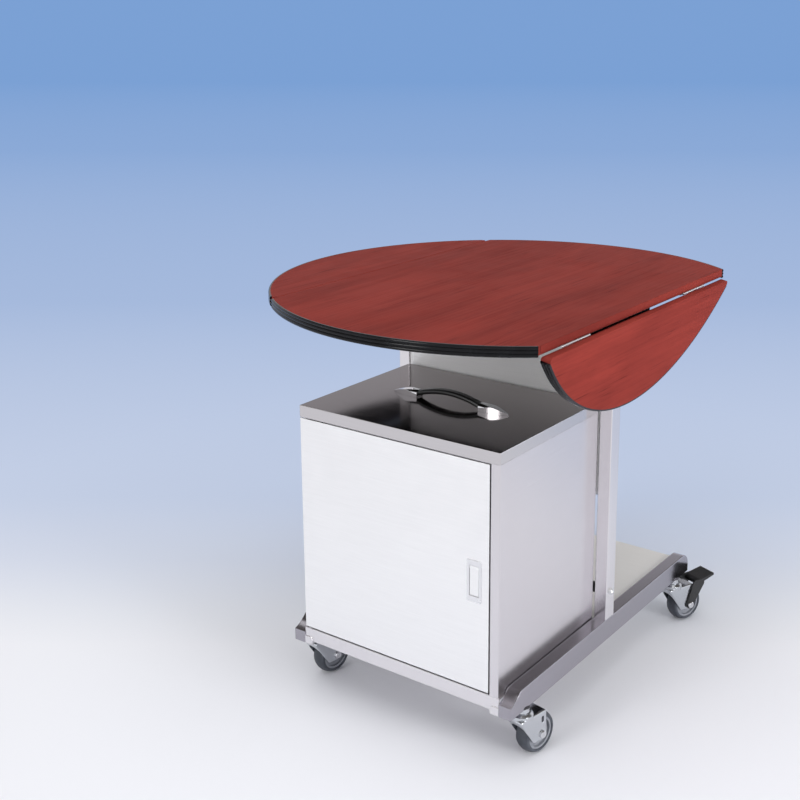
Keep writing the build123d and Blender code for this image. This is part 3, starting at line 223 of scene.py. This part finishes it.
ALONG_X = (14.0, 900.0, 900.0)
ALONG_Y = (900.0, 14.0, 900.0)
ALONG_Z = (900.0, 900.0, 14.0)
# Door and side are the same box sheet: the door's paler colour and the side's darker one are partly painted light and
# painted shade.
door_steel = steel_finish("door_steel", (0.95, 0.95, 0.955), 0.34, ALONG_X)
side_steel = steel_finish("side_steel", (0.74, 0.715, 0.74), 0.22, ALONG_Y, line_depth=0.02, mark_change=0.04)
# The lid's dark top colour is a painted reflection of the table's dark underside.
lid_steel = steel_finish("lid_steel", (0.66, 0.64, 0.65), 0.09, ALONG_X, line_depth=0.008, mark_change=0.03,
                         top=(0.17, 0.147, 0.147))
rail_steel = steel_finish("rail_steel", (0.40, 0.385, 0.425), 0.15, ALONG_Y, line_depth=0.006, mark_change=0.02)
column_steel = steel_finish("column_steel", (0.80, 0.78, 0.80), 0.20, ALONG_Z, line_depth=0.006, mark_change=0.02)
panel_steel = steel_finish("panel_steel", (0.95, 0.94, 0.94), 0.36, ALONG_X, line_depth=0.02, mark_change=0.05,
                           metal=0.25)
latch_steel = steel_finish("latch_steel", (0.84, 0.84, 0.86), 0.24, ALONG_X, line_depth=0.01, mark_change=0.04)
# The deck's near-white colour is partly painted light, so that it stays pale in the shadow of the table.
deck_steel = steel_finish("deck_steel", (0.92, 0.89, 0.86), 0.5, ALONG_X, metal=0.1)
liner_steel = steel_finish("liner_steel", (0.50, 0.50, 0.51), 0.50, ALONG_Z, metal=0.5)
zinc_plate = steel_finish("zinc_plate", (0.78, 0.79, 0.80), 0.26, (260.0, 260.0, 260.0), line_depth=0.015)
caster_zinc = steel_finish("caster_zinc", (0.60, 0.62, 0.65), 0.18, (320.0, 320.0, 320.0), line_depth=0.02,
                           mark_change=0.06, bevel=0.0008)
chrome_plate = steel_finish("chrome_plate", (0.72, 0.72, 0.74), 0.12, (200.0, 200.0, 200.0), line_depth=0.004,
                            mark_change=0.03, bevel=0.0006)
print("made the steel finishes")

# %% [markdown]
# ## Wood-grain laminate
# The top is a board with a printed laminate: mahogany red with thin darker streaks that run along the hinge edges.
# The streaks are again stretched noise, in three sizes: broad bands, fibres and short pores. Each board has its own
# plane, so the group is told which way lies across the grain and which side is up. Where the surface faces down, the
# group turns the colour near black as painted shade under the board.

# %% Group for the laminate
BAND_WEIGHT, FIBRE_WEIGHT, PORE_WEIGHT = 0.36, 0.26, 0.70
# How far down a face must look before the painted shade under the board is full
UNDERSIDE_SHADE_FULL, UNDERSIDE_SHADE_END = -0.86, -0.80
laminate_grain, group_in, group_out = start_group(
    "laminate_grain",
    {
        "Across": (VECTOR, (1.0, 0.0, 0.0)),
        "Up": (VECTOR, (0.0, 0.0, 1.0)),
        "Ground": (COLOR, (0.255, 0.039, 0.030, 1.0)),
        "Streak": (COLOR, (0.075, 0.012, 0.011, 1.0)),
        "UndersideShade": (COLOR, (0.02, 0.016, 0.014, 1.0)),
    },
    {"Color": COLOR, "Height": FLOAT, "Gloss": FLOAT},
)
place = add_node(laminate_grain, "ShaderNodeTexCoord")


def dot_with(socket, vector):
    """How far a place or a normal reaches along a direction."""
    node = add_node(laminate_grain, "ShaderNodeVectorMath", operation="DOT_PRODUCT")
    join(laminate_grain, socket, node.inputs[0])
    join(laminate_grain, vector, node.inputs[1])
    return node.outputs["Value"]


across = dot_with(place.outputs["Object"], group_in.outputs["Across"])
split = add_node(laminate_grain, "ShaderNodeSeparateXYZ")
join(laminate_grain, place.outputs["Object"], split.inputs[0])


def grain_noise(across_scale, along_scale, detail, distortion):
    """Noise in board coordinates, stretched along the grain."""
    flat = add_node(laminate_grain, "ShaderNodeCombineXYZ")
    join(laminate_grain, math_node(laminate_grain, "MULTIPLY", across, across_scale), flat.inputs["X"])
    join(laminate_grain, math_node(laminate_grain, "MULTIPLY", split.outputs["Y"], along_scale), flat.inputs["Y"])
    noise = add_node(
        laminate_grain, "ShaderNodeTexNoise",
        {"Scale": 1.0, "Detail": detail, "Roughness": 0.6, "Distortion": distortion},
    )
    join(laminate_grain, flat.outputs[0], noise.inputs["Vector"])
    return noise.outputs["Fac"]


def sharpened(socket, low, high):
    """A value spread so that low becomes zero and high becomes one."""
    node = add_node(laminate_grain, "ShaderNodeMapRange", {"From Min": low, "From Max": high})
    join(laminate_grain, socket, node.inputs["Value"])
    return node.outputs["Result"]


bands = sharpened(grain_noise(10.0, 2.0, 4.0, 0.8), 0.36, 0.70)
fibres = sharpened(grain_noise(190.0, 2.6, 4.0, 0.1), 0.42, 0.80)
pores = sharpened(grain_noise(330.0, 6.0, 2.0, 0.0), 0.64, 0.72)
band_part = math_node(laminate_grain, "MULTIPLY", bands, BAND_WEIGHT)
fibre_part = math_node(laminate_grain, "MULTIPLY", fibres, FIBRE_WEIGHT)
pore_part = math_node(laminate_grain, "MULTIPLY", pores, PORE_WEIGHT)
broad_part = math_node(laminate_grain, "ADD", band_part, fibre_part)
grain = math_node(laminate_grain, "ADD", broad_part, pore_part)
grain.node.use_clamp = True
wood = add_node(laminate_grain, "ShaderNodeMix", data_type="RGBA")
join(laminate_grain, grain, wood.inputs["Factor"])
join(laminate_grain, group_in.outputs["Ground"], wood.inputs["A"])
join(laminate_grain, group_in.outputs["Streak"], wood.inputs["B"])
# Faces that look down get the near-black painted shade.
facing = dot_with(place.outputs["Normal"], group_in.outputs["Up"])
upper = sharpened(facing, UNDERSIDE_SHADE_FULL, UNDERSIDE_SHADE_END)
board = add_node(laminate_grain, "ShaderNodeMix", data_type="RGBA")
join(laminate_grain, upper, board.inputs["Factor"])
join(laminate_grain, group_in.outputs["UndersideShade"], board.inputs["A"])
join(laminate_grain, wood.outputs["Result"], board.inputs["B"])
join(laminate_grain, board.outputs["Result"], group_out.inputs["Color"])
join(laminate_grain, math_node(laminate_grain, "SUBTRACT", 1.0, pores), group_out.inputs["Height"])
join(laminate_grain, fibres, group_out.inputs["Gloss"])
print("group", laminate_grain.name)

# %% [markdown]
# ## The three boards
# The middle panel and the level leaf lie flat. The other leaf hangs, so its grain direction and its upper side turn
# with the hinge. The laminate is satin and hardly mirrors the room, so its specular level is close to zero. The fibres
# and the marks of wiping change its roughness a little.

# %% Laminate materials
LEAF_HANG = math.radians(101.0)
LAMINATE_SHINE = 0.005
LAMINATE_ROUGHNESS = 0.36
FIBRE_GLOSS = 0.08
WIPED_GLOSS = 0.06


def laminate(name, across, up):
    """The finish of a board, told which way lies across its grain and which side is up."""
    material = bpy.data.materials.new(name)
    material.use_nodes = True
    tree = material.node_tree
    shader = tree.nodes["Principled BSDF"]
    shader.inputs["Specular IOR Level"].default_value = LAMINATE_SHINE
    grain_group = use_group(tree, laminate_grain, {"Across": across, "Up": up})
    marks = use_group(tree, handling_marks, {"Size": 6.0})
    join(tree, grain_group.outputs["Color"], shader.inputs["Base Color"])
    gloss = math_node(tree, "MULTIPLY_ADD", grain_group.outputs["Gloss"], FIBRE_GLOSS)
    gloss.node.inputs[2].default_value = LAMINATE_ROUGHNESS
    wiped = math_node(tree, "MULTIPLY_ADD", marks.outputs["Mark"], WIPED_GLOSS)
    join(tree, gloss, wiped.node.inputs[2])
    join(tree, wiped, shader.inputs["Roughness"])
    bump = add_node(tree, "ShaderNodeBump", {"Strength": 0.06, "Distance": 0.0003})
    join(tree, grain_group.outputs["Height"], bump.inputs["Height"])
    join(tree, bump.outputs["Normal"], shader.inputs["Normal"])
    return material


flat_laminate = laminate("flat_laminate", (1.0, 0.0, 0.0), (0.0, 0.0, 1.0))
hanging_laminate = laminate(
    "hanging_laminate",
    (math.cos(LEAF_HANG), 0.0, -math.sin(LEAF_HANG)),
    (math.sin(LEAF_HANG), 0.0, math.cos(LEAF_HANG)),
)
print("made", flat_laminate.name, "and", hanging_laminate.name)

# %% [markdown]
# ## Moulded plastic and rubber
# The edging, the brake pedals, the wheels and the grip are moulded. Moulded surfaces have a very fine grain and small
# tone changes, never one flat colour. One group gives both, and each material takes its own colour and gloss.

# %% Group for moulded surfaces
moulded_grain, group_in, group_out = start_group(
    "moulded_grain",
    {"Scale": (FLOAT, 900.0), "Base": (COLOR, (0.03, 0.03, 0.03, 1.0)), "Worn": (COLOR, (0.06, 0.06, 0.06, 1.0))},
    {"Color": COLOR, "Height": FLOAT},
)
place = add_node(moulded_grain, "ShaderNodeTexCoord")
speck = add_node(moulded_grain, "ShaderNodeTexNoise", {"Detail": 2.0, "Roughness": 0.5})
scuff = add_node(moulded_grain, "ShaderNodeTexNoise", {"Scale": 38.0, "Detail": 5.0, "Roughness": 0.65})
join(moulded_grain, place.outputs["Object"], speck.inputs["Vector"])
join(moulded_grain, place.outputs["Object"], scuff.inputs["Vector"])
join(moulded_grain, group_in.outputs["Scale"], speck.inputs["Scale"])
patch = add_node(moulded_grain, "ShaderNodeMapRange", {"From Min": 0.45, "From Max": 0.75})
join(moulded_grain, scuff.outputs["Fac"], patch.inputs["Value"])
tone = add_node(moulded_grain, "ShaderNodeMix", data_type="RGBA")
join(moulded_grain, patch.outputs["Result"], tone.inputs["Factor"])
join(moulded_grain, group_in.outputs["Base"], tone.inputs["A"])
join(moulded_grain, group_in.outputs["Worn"], tone.inputs["B"])
join(moulded_grain, tone.outputs["Result"], group_out.inputs["Color"])
join(moulded_grain, speck.outputs["Fac"], group_out.inputs["Height"])


MOULD_GLOSS = 0.12
MOULD_EDGE = 0.0006


def moulded(name, base, worn, roughness, depth=0.05, scale=900.0, shine=0.5):
    """A plastic, rubber or foam with a fresh and a worn tone."""
    material = bpy.data.materials.new(name)
    material.use_nodes = True
    tree = material.node_tree
    shader = tree.nodes["Principled BSDF"]
    shader.inputs["Specular IOR Level"].default_value = shine
    surface = use_group(tree, moulded_grain, {"Scale": scale, "Base": (*base, 1), "Worn": (*worn, 1)})
    marks = use_group(tree, handling_marks, {"Size": 30.0})
    join(tree, surface.outputs["Color"], shader.inputs["Base Color"])
    wiped = math_node(tree, "MULTIPLY_ADD", marks.outputs["Mark"], MOULD_GLOSS)
    wiped.node.inputs[2].default_value = roughness
    join(tree, wiped, shader.inputs["Roughness"])
    edge = add_node(tree, "ShaderNodeBevel", {"Radius": MOULD_EDGE}, samples=4)
    bump = add_node(tree, "ShaderNodeBump", {"Strength": depth, "Distance": 0.0003})
    join(tree, surface.outputs["Height"], bump.inputs["Height"])
    join(tree, edge.outputs["Normal"], bump.inputs["Normal"])
    join(tree, bump.outputs["Normal"], shader.inputs["Normal"])
    return material


edge_plastic = moulded("edge_plastic", (0.003, 0.003, 0.004), (0.007, 0.008, 0.010), 0.10, shine=0.2)
pedal_plastic = moulded("pedal_plastic", (0.010, 0.010, 0.011), (0.022, 0.022, 0.024), 0.34)
grip_rubber = moulded("grip_rubber", (0.008, 0.008, 0.008), (0.02, 0.02, 0.02), 0.30)
# The tie rod, the bearers and the cross channels get near black as painted shade: they lie in shadow under the table
# and behind the box.
painted_shade_black = moulded("painted_shade_black", (0.010, 0.010, 0.010), (0.02, 0.02, 0.02), 0.30)
tyre_rubber = moulded("tyre_rubber", (0.036, 0.041, 0.054), (0.07, 0.077, 0.095), 0.50, depth=0.12)
core_plastic = moulded("core_plastic", (0.20, 0.21, 0.24), (0.30, 0.31, 0.34), 0.42)
seal_rubber = moulded("seal_rubber", (0.03, 0.03, 0.033), (0.05, 0.05, 0.055), 0.6)
wall_foam = moulded("wall_foam", (0.62, 0.50, 0.26), (0.72, 0.60, 0.34), 0.85, depth=0.6, scale=420.0)
print("made the moulded finishes")

# %% [markdown]
# ## Dressing the nodes
# Each node gets its finish by name. A table of finishes and names is easier to read and check than a line per node,
# and the last line of the cell proves that no node was forgotten.

# %% Assign finishes
corners = ("front_left", "front_right", "rear_left", "rear_right")
finishes = [
    (rail_steel, ["left_rail", "right_rail"]),
    (deck_steel, ["rear_deck"]),
    (column_steel, ["left_column", "right_column", "box_tray"]),
    (panel_steel, ["upper_back_panel"]),
    (zinc_plate, ["caster_sockets", "table_screws", "tie_rod_nuts", "fixed_hinge_plates", "hinge_pins",
                  "left_hinge_plates", "right_hinge_plates", "door_hinge_pins", "latch_bolt"]),
    (painted_shade_black, ["tie_rod", "left_bearer", "right_bearer", "front_cross_channel", "rear_cross_channel"]),
    (flat_laminate, ["center_panel", "left_leaf_panel"]),
    (hanging_laminate, ["right_leaf_panel"]),
    (edge_plastic, ["center_edging", "left_leaf_edging", "right_leaf_edging"]),
    (side_steel, ["box_shell"]),
    (lid_steel, ["box_lid"]),
    (door_steel, ["door_skin", "latch_paddle"]),
    (latch_steel, ["latch_pan"]),
    (liner_steel, ["box_liner", "door_liner", "shelf"]),
    (wall_foam, ["box_insulation", "door_insulation"]),
    (seal_rubber, ["door_gasket"]),
    (grip_rubber, ["handle_grip"]),
    (chrome_plate, ["handle_ends"] + [f"{corner}_axle" for corner in corners]),
    (caster_zinc, ["caster_kingpins"] + [f"{corner}_fork" for corner in corners]),
    (core_plastic, [f"{corner}_wheel_core" for corner in corners]),
    (tyre_rubber, [f"{corner}_tyre" for corner in corners]),
    (pedal_plastic, ["rear_left_brake_pedal", "rear_right_brake_pedal"]),
]
dressed = set()
for material, names in finishes:
    for name in names:
        mesh = nodes[name].data
        mesh.materials.clear()
        mesh.materials.append(material)
        dressed.add(name)
print("dressed", len(dressed), "nodes; left over:", sorted(set(nodes) - dressed))

# %% [markdown]
# ## The tone of the room
# The floor is plain and pale near the trolley and in front of it, and turns to a soft blue towards the back of the
# room. Floor and world both need that change of tone, so one ramp serves both: it takes the distance in metres along
# the line from the front right corner of the room to its far left corner.

# %% Room tones
INTO_ROOM = (-0.578, 0.816, 0.0)
TONE_REACH = 20.0
HORIZON = (0.20, 0.355, 0.66)
ROOM_TONES = [(0.0, (0.84, 0.84, 0.88)), (0.006, (0.80, 0.81, 0.86)), (0.020, (0.67, 0.71, 0.82)),
              (0.038, (0.56, 0.63, 0.79)), (0.15, (0.38, 0.49, 0.72)), (0.45, (0.26, 0.40, 0.68)), (1.0, HORIZON)]


def color_ramp(tree, factor, tones):
    """A ramp of colours along a factor from 0 to 1."""
    node = tree.nodes.new("ShaderNodeValToRGB")
    ramp = node.color_ramp
    for place, _ in tones[1:-1]:
        ramp.elements.new(place)
    for element, (place, color) in zip(ramp.elements, tones):
        element.position = place
        element.color = (*color, 1)
    join(tree, factor, node.inputs["Fac"])
    return node.outputs["Color"]


def room_tone(tree, place, metres):
    """The tone of the room at a place; metres, a socket or a number, is the length of one unit of the place."""
    depth = add_node(tree, "ShaderNodeVectorMath", {1: INTO_ROOM}, operation="DOT_PRODUCT")
    join(tree, place, depth.inputs[0])
    far = math_node(tree, "MULTIPLY", depth.outputs["Value"], metres)
    return color_ramp(tree, math_node(tree, "DIVIDE", far, TONE_REACH), ROOM_TONES)


def seen_rays(tree):
    """One for camera, glossy and transmission rays, zero for the rays that only carry light."""
    rays = tree.nodes.new("ShaderNodeLightPath")
    seen = math_node(tree, "ADD", rays.outputs["Is Camera Ray"], rays.outputs["Is Glossy Ray"])
    return math_node(tree, "ADD", seen, rays.outputs["Is Transmission Ray"])


print("room tones", len(ROOM_TONES))

# %% [markdown]
# ## Floor
# Near the trolley the floor is a real diffuse surface, so it keeps the soft shadow. Lamps can't light a floor as far
# as the horizon, so the far part glows in its own colour for the camera and for reflections. The two parts have the
# same colour and blend without a seam.

# %% Floor
FLOOR_HALF = 60.0
GLOW_START, GLOW_FULL = 0.55, 1.7
floor_mesh = bpy.data.meshes.new("floor")
floor_mesh.from_pydata(
    [(-FLOOR_HALF, -FLOOR_HALF, 0), (FLOOR_HALF, -FLOOR_HALF, 0), (FLOOR_HALF, FLOOR_HALF, 0),
     (-FLOOR_HALF, FLOOR_HALF, 0)],
    [], [(0, 1, 2, 3)],
)
floor = bpy.data.objects.new("floor", floor_mesh)
bpy.context.scene.collection.objects.link(floor)

floor_paint = bpy.data.materials.new("floor_paint")
floor_paint.use_nodes = True
tree = floor_paint.node_tree
shader = tree.nodes["Principled BSDF"]
shader.inputs["Roughness"].default_value = 0.9
shader.inputs["Specular IOR Level"].default_value = 0.0
place = add_node(tree, "ShaderNodeTexCoord")
tone = room_tone(tree, place.outputs["Object"], 1.0)
join(tree, tone, shader.inputs["Base Color"])
reach = add_node(tree, "ShaderNodeVectorMath", operation="LENGTH")
join(tree, place.outputs["Object"], reach.inputs[0])
far = add_node(tree, "ShaderNodeMapRange", {"From Min": GLOW_START, "From Max": GLOW_FULL},
               interpolation_type="SMOOTHSTEP")
join(tree, reach.outputs["Value"], far.inputs["Value"])
glow = add_node(tree, "ShaderNodeEmission", {"Strength": 1.0})
join(tree, tone, glow.inputs["Color"])
mixed = add_node(tree, "ShaderNodeMixShader")
join(tree, math_node(tree, "MULTIPLY", far.outputs["Result"], seen_rays(tree)), mixed.inputs[0])
join(tree, shader.outputs["BSDF"], mixed.inputs[1])
join(tree, glow.outputs["Emission"], mixed.inputs[2])
join(tree, mixed.outputs["Shader"], tree.nodes["Material Output"].inputs["Surface"])
floor_mesh.materials.append(floor_paint)
print("floor", 2 * FLOOR_HALF, "m wide")

# %% [markdown]
# ## Light
# Steel shows whatever is around it, so the surroundings matter as much as the lamps. A world of one pale tone would
# wash the steel out. A real studio has pale walls in front, greyer ones behind and a dim ceiling, so reflections see
# those tones. The camera sees the tone of the room, and everything else gets a plain fill. Large soft lamps do the
# rest: an upright key strip in front, a fill at the right, a top light, and a low softbox behind on the right that
# brightens the side. At the horizon the world has the tones of the far floor. Higher up its tones spread, so that no
# hard line stands above the floor.

# %% World and lamps
FILL_COLOR = (0.96, 0.98, 1.0)
FILL_STRENGTH = 0.56
FRONT_GLOW = 0.25
SKY_SPREAD = 60.0
CEILING = (0.10, 0.088, 0.082)
CEILING_START, CEILING_FULL = 0.38, 0.50
WALL_TONES = [(0.0, (0.90, 0.90, 0.92)), (0.35, (0.78, 0.77, 0.80)), (1.0, (0.70, 0.69, 0.73))]
world = bpy.data.worlds.new("studio")
bpy.context.scene.world = world
world.use_nodes = True
tree = world.node_tree
fill_light = tree.nodes["Background"]
fill_light.inputs["Color"].default_value = (*FILL_COLOR, 1)
fill_light.inputs["Strength"].default_value = FILL_STRENGTH
place = add_node(tree, "ShaderNodeTexCoord")
split = add_node(tree, "ShaderNodeSeparateXYZ")
join(tree, place.outputs["Generated"], split.inputs[0])
depth = add_node(tree, "ShaderNodeVectorMath", {1: INTO_ROOM}, operation="DOT_PRODUCT")
join(tree, place.outputs["Generated"], depth.inputs[0])
in_front = math_node(tree, "MULTIPLY", math_node(tree, "MINIMUM", depth.outputs["Value"], 0.0), FRONT_GLOW)
dim = add_node(tree, "ShaderNodeMapRange", {"From Min": CEILING_START, "From Max": CEILING_FULL},
               interpolation_type="SMOOTHSTEP")
join(tree, math_node(tree, "ADD", split.outputs["Z"], in_front), dim.inputs["Value"])
walls = add_node(tree, "ShaderNodeMix", data_type="RGBA")
walls.inputs["B"].default_value = (*CEILING, 1)
join(tree, dim.outputs["Result"], walls.inputs["Factor"])
join(tree, color_ramp(tree, depth.outputs["Value"], WALL_TONES), walls.inputs["A"])
sky = add_node(tree, "ShaderNodeMix", data_type="RGBA")
join(tree, tree.nodes.new("ShaderNodeLightPath").outputs["Is Camera Ray"], sky.inputs["Factor"])
join(tree, walls.outputs["Result"], sky.inputs["A"])
rise = math_node(tree, "MULTIPLY", math_node(tree, "MAXIMUM", split.outputs["Z"], 0.0), SKY_SPREAD)
distance = math_node(tree, "DIVIDE", FLOOR_HALF, math_node(tree, "ADD", rise, 1.0))
join(tree, room_tone(tree, place.outputs["Generated"], distance), sky.inputs["B"])
surroundings = add_node(tree, "ShaderNodeBackground", {"Strength": 1.0})
join(tree, sky.outputs["Result"], surroundings.inputs["Color"])
mixed = add_node(tree, "ShaderNodeMixShader")
join(tree, seen_rays(tree), mixed.inputs[0])
join(tree, fill_light.outputs["Background"], mixed.inputs[1])
join(tree, surroundings.outputs["Background"], mixed.inputs[2])
join(tree, mixed.outputs["Shader"], tree.nodes["World Output"].inputs["Surface"])

AIM = Vector((0.0, -0.1, 0.45))


def soft_lamp(name, place, width, height, power):
    """A square or oblong softbox that points at the trolley and lights it without showing in the picture."""
    data = bpy.data.lights.new(name, "AREA")
    data.shape = "RECTANGLE"
    data.size = width
    data.size_y = height
    data.energy = power
    lamp = bpy.data.objects.new(name, data)
    bpy.context.scene.collection.objects.link(lamp)
    lamp.location = place
    lamp.rotation_euler = (AIM - Vector(place)).to_track_quat("-Z", "Y").to_euler()
    lamp.visible_camera = False
    return lamp


lamps = [
    soft_lamp("key_lamp", (-0.6, -3.3, 1.5), 0.8, 1.7, 28),
    soft_lamp("fill_lamp", (4.6, -0.5, 1.2), 2.0, 2.0, 140),
    soft_lamp("top_lamp", (-0.2, -0.4, 3.4), 4.0, 4.0, 50),
    soft_lamp("side_lamp", (2.2, 2.6, 0.45), 2.6, 0.7, 8),
]
print("lamps", [lamp.name for lamp in lamps])
